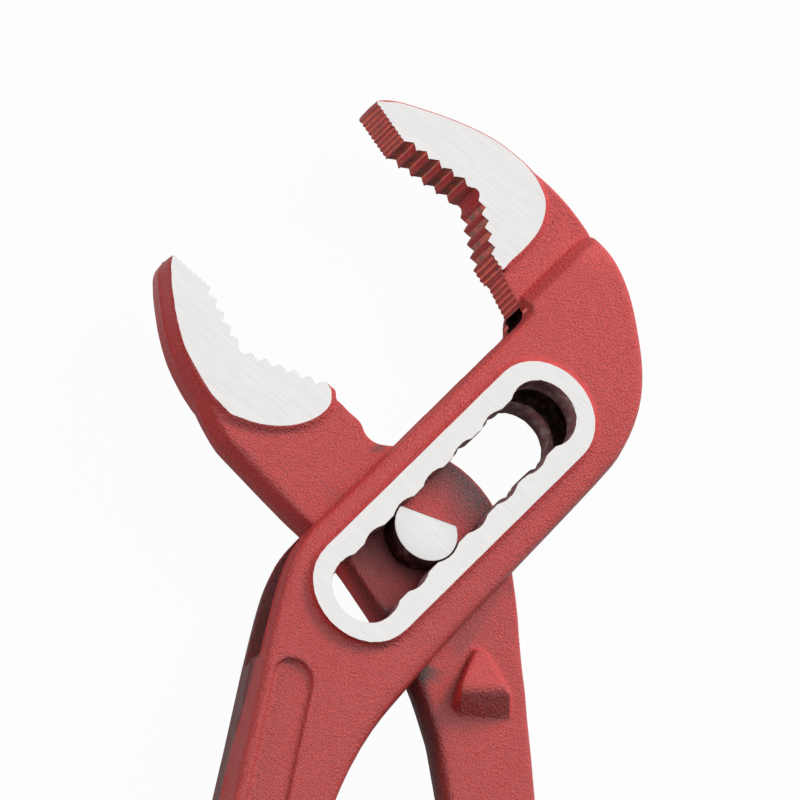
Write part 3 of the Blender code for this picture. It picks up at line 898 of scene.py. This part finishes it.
def skinAndShadeOuter(piece):
    look = outerSkinAndShade
    spots, normals = readPoints(piece.data), readNormals(piece.data)
    u, v = slotPlaces(spots)
    height = spots[:, 2] - pivot.z
    # the slope below the neck keeps the skin of the forging
    slope = np.clip(2.2 - np.abs(v - look["slope"] * mm) / (look["slopeWide"] * mm), 0, 1)
    slope = slope * (u > look["slopeStart"] * mm) * (np.abs(height) > look["slopeFoot"] * mm)
    keepValues(piece, "coarse", slope)
    # painted shade: the left wall behind the parting line darkened as if in shadow, the faces inside the channel,
    # and along the panel's recessed rim
    dark = look["slitHalf"] * mm * np.clip(1 + (u - look["slitEnd"] * mm) / (look["runOut"] * mm), 0, 1)
    wall = np.clip((dark - height) / (look["wallSoft"] * mm) - 0.5, 0, 1)
    wall = wall * np.clip(-4 * normals[:, 0] - 1.4, 0, 1) * (u < look["wallStart"] * mm)
    # painted shade on the channel's inner faces, the ones that face the middle plane
    inside = (np.abs(height) < look["insideHalf"] * mm) * (u < 0)
    inside = inside * np.clip(-2 * np.sign(height) * normals[:, 2], 0, 1)
    # painted shade along the panel's recessed rim
    rim = np.exp(-((panelRim(u, v)[0] / (look["rimWide"] * mm)) ** 2)) * (height > 0)
    paintedShadeAndRub = np.maximum.reduce((look["wall"] * wall, look["inside"] * inside, look["rim"] * rim))
    keepValues(piece, "rubAndPaintedShade", paintedShadeAndRub)


skinAndShadeOuter(outerArm)

# rub marks and painted shade and shadow on the inner arm, in millimetres from the pivot: how far, how wide, how
# dark
innerRubAndShade = dict(
    ring=(14.9, 1.6, 0.9), ringSide=10, bolt=(6.5, 3.2), left=(-9.0, -1.2, 4.2), box=(-15.9, 1.9),
    side=(-4.2, -18.6, 0.307, 1.3), sideLow=-35, sideHigh=-14,
    mouth=(6.5, 14.1), mouthWide=(3.5, 0.9), mouthDark=0.8, face=3.2,
)


def gauss(value):
    return np.exp(-(value**2))


def rubAndShadeInner(piece):  # rub marks where the cheeks and the slot's edges wipe over the arm, with painted shadow and shade beside the bolt head, in the slot and along the box's edge
    look = innerRubAndShade
    spots, normals = readPoints(piece.data), readNormals(piece.data)
    x, y = (spots[:, 0] - pivot.x) / mm, (spots[:, 1] - pivot.y) / mm
    u, v = (value / mm for value in slotPlaces(spots))
    reach = np.hypot(u, v)
    # rub arcs where the slot's edges wipe the arm
    far, wide, dark = look["ring"]
    ring = gauss((reach - far) / wide) * dark * (np.abs(v) < look["ringSide"])
    # painted shadow of the bolt head, strongest on its side towards the handles, over a light rub all round it
    far, wide = look["bolt"]
    bolt = gauss((reach - far) / wide) * np.clip(0.45 - u / 12, 0.12, 0.9)
    # painted shadow in the slot beside the bolt head
    leftX, leftY, wide = look["left"]
    left = gauss(np.hypot(x - leftX, y - leftY) / wide)
    # painted shadow along the box's edge
    far, wide = look["box"]
    box = gauss((v - far) / wide) * np.clip(0.45 - u / 20, 0.42, 0.95)
    # darker in a band along the arm's handle, beside the outer arm's edge
    startX, startY, lean, wide = look["side"]
    side = gauss((x - startX - lean * (startY - y)) / wide)
    side = side * np.clip((y - look["sideLow"]) / 12, 0, 0.9) * (y < look["sideHigh"])
    # darker patch at the box's mouth, partly painted shade
    (mouthU, mouthV), (longU, wideV) = look["mouth"], look["mouthWide"]
    mouth = gauss((v - mouthV) / wideV) * gauss((u - mouthU) / longU) * look["mouthDark"]
    face = (np.abs(spots[:, 2] - pivot.z) < look["face"] * mm) * np.clip(3 * np.abs(normals[:, 2]) - 1.8, 0, 1)
    keepValues(piece, "rubAndPaintedShade", np.clip(np.maximum.reduce((ring, bolt, left, box, side, mouth)), 0, 1) * face)


rubAndShadeInner(innerArm)
frame["nodes"]["bolt_core"].data.materials.clear()
frame["nodes"]["bolt_core"].data.materials.append(oxide)
print("soot laid on")

for piece, node, body, slot in (
    (outerArm, "outer_arm", "outer_arm", "outer_paint"),
    (innerArm, "inner_arm", "inner_arm", "inner_paint"),
    (frontHead, "front_bolt_head", "inner_arm", "bolt_steel"),
    (rearHead, "rear_bolt_head", "inner_arm", "bolt_steel"),
):
    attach(piece, body)
    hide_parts(node)

# studio: the photograph's direction, what the camera aims at in millimetres from the pivot, and the field's width
viewLook = dict(
    back=(-0.4214, -0.3957, 0.8160), up=(-0.0917, 0.9138, 0.3956), aim=(-4.125, 20.14),
    field=125, distance=5.0, sensor=36, clip=(0.01, 20),
)


def camera():
    look = viewLook
    back = Vector(look["back"]).normalized()
    up = Vector(look["up"])
    up = (up - back * up.dot(back)).normalized()
    right = up.cross(back)
    target = Vector((pivot.x, pivot.y, pivot.z + boxHalf))
    target = target + right * look["aim"][0] * mm + up * look["aim"][1] * mm
    data = bpy.data.cameras.new("camera")
    data.sensor_width = look["sensor"]
    data.lens = look["sensor"] * look["distance"] / (look["field"] * mm)
    data.clip_start, data.clip_end = look["clip"]
    eye = addObject("camera", data)
    facing = Matrix((right, up, back)).transposed().to_4x4()
    eye.matrix_world = Matrix.Translation(target + back * look["distance"]) @ facing
    bpy.context.scene.camera = eye
    return target


target = camera()

floorLook = dict(size=4.0, below=0.05, bounce="#8C8C8C", white=0.97, mirrored=0.14)


def floor():
    look = floorLook
    bm = bmesh.new()
    bmesh.ops.create_grid(bm, x_segments=1, y_segments=1, size=look["size"] / 2)
    sheet = bmObject("floor", bm)
    sheet.location.z = cadBox[0][2] - look["below"] * mm
    material = bpy.data.materials.new("paperSweep")  # matt white paper: plain, and it keeps a soft shadow
    material.use_nodes = True
    tree = material.node_tree
    tree.nodes.clear()
    path = addNode(tree, "ShaderNodeLightPath")
    straight = addNode(
        tree, "ShaderNodeMath",
        {0: path.outputs["Is Camera Ray"], 1: path.outputs["Is Transmission Ray"]}, operation="MAXIMUM",
    )
    straight = addNode(
        tree, "ShaderNodeMath", {0: straight.outputs["Value"], 1: look["white"]}, operation="MULTIPLY"
    )
    mirrored = addNode(
        tree, "ShaderNodeMath", {0: path.outputs["Is Glossy Ray"], 1: look["mirrored"]}, operation="MULTIPLY"
    )
    share = addNode(
        tree, "ShaderNodeMath", {0: straight.outputs["Value"], 1: mirrored.outputs["Value"]}, operation="MAXIMUM"
    )
    paper = addNode(tree, "ShaderNodeBsdfDiffuse", {"Color": hexColour(look["bounce"])})
    glow = addNode(tree, "ShaderNodeEmission", {"Color": (1, 1, 1, 1), "Strength": 1.0})
    mix = addNode(
        tree, "ShaderNodeMixShader",
        {0: share.outputs["Value"], 1: paper.outputs["BSDF"], 2: glow.outputs["Emission"]},
    )
    addNode(tree, "ShaderNodeOutputMaterial", {"Surface": mix.outputs["Shader"]})
    sheet.data.materials.append(material)


floor()

# two soft round lamps, in metres and watts: a key from behind on the right, a weak fill from the left
lampLook = dict(
    distance=0.6, size=0.16,
    lamps=(("softbox", (0.66, 0.66, 0.34), 6.0), ("leftFill", (-0.98, 0.0, 0.17), 1.9)),
)


def lamp(name, way, power):
    look = lampLook
    data = bpy.data.lights.new(name, "AREA")
    data.shape = "DISK"
    data.size = look["size"]
    data.energy = power
    thing = addObject(name, data)
    way = Vector(way).normalized()
    thing.location = target + way * look["distance"]
    thing.rotation_euler = way.to_track_quat("Z", "Y").to_euler()
    thing.visible_camera = False
    thing.visible_glossy = False  # the metal mirrors the sky, not the lamp


for name, way, power in lampLook["lamps"]:
    lamp(name, way, power)

# the studio is bright above and behind the tool and falls off towards the camera's side
skyLook = dict(way=(0.42, 0.40, 0.816), dark=0.0, bright=1.4, start=0.45, end=1.0)


def sky():
    look = skyLook
    world = bpy.data.worlds.new("studio")
    bpy.context.scene.world = world
    world.use_nodes = True
    tree = world.node_tree
    background = tree.nodes["Background"]
    way = addNode(tree, "ShaderNodeTexCoord").outputs["Generated"]
    facing = addNode(
        tree, "ShaderNodeVectorMath", {0: way, 1: Vector(look["way"]).normalized()}, operation="DOT_PRODUCT"
    )
    level = addNode(
        tree, "ShaderNodeMapRange",
        {
            "Value": facing.outputs["Value"], "From Min": look["start"], "From Max": look["end"],
            "To Min": look["dark"], "To Max": look["bright"],
        },
        interpolation_type="SMOOTHSTEP",
    )
    seen = addNode(tree, "ShaderNodeLightPath").outputs["Is Camera Ray"]
    strength = addNode(
        tree, "ShaderNodeMix", {"Factor": seen, "A": level.outputs["Result"], "B": 1.0}, data_type="FLOAT"
    )
    tree.links.new(strength.outputs["Result"], background.inputs["Strength"])
    background.inputs["Color"].default_value = (1, 1, 1, 1)


sky()
print("studio lit")

bpy.context.scene.view_settings.view_transform = "Standard"

print("scene ready")
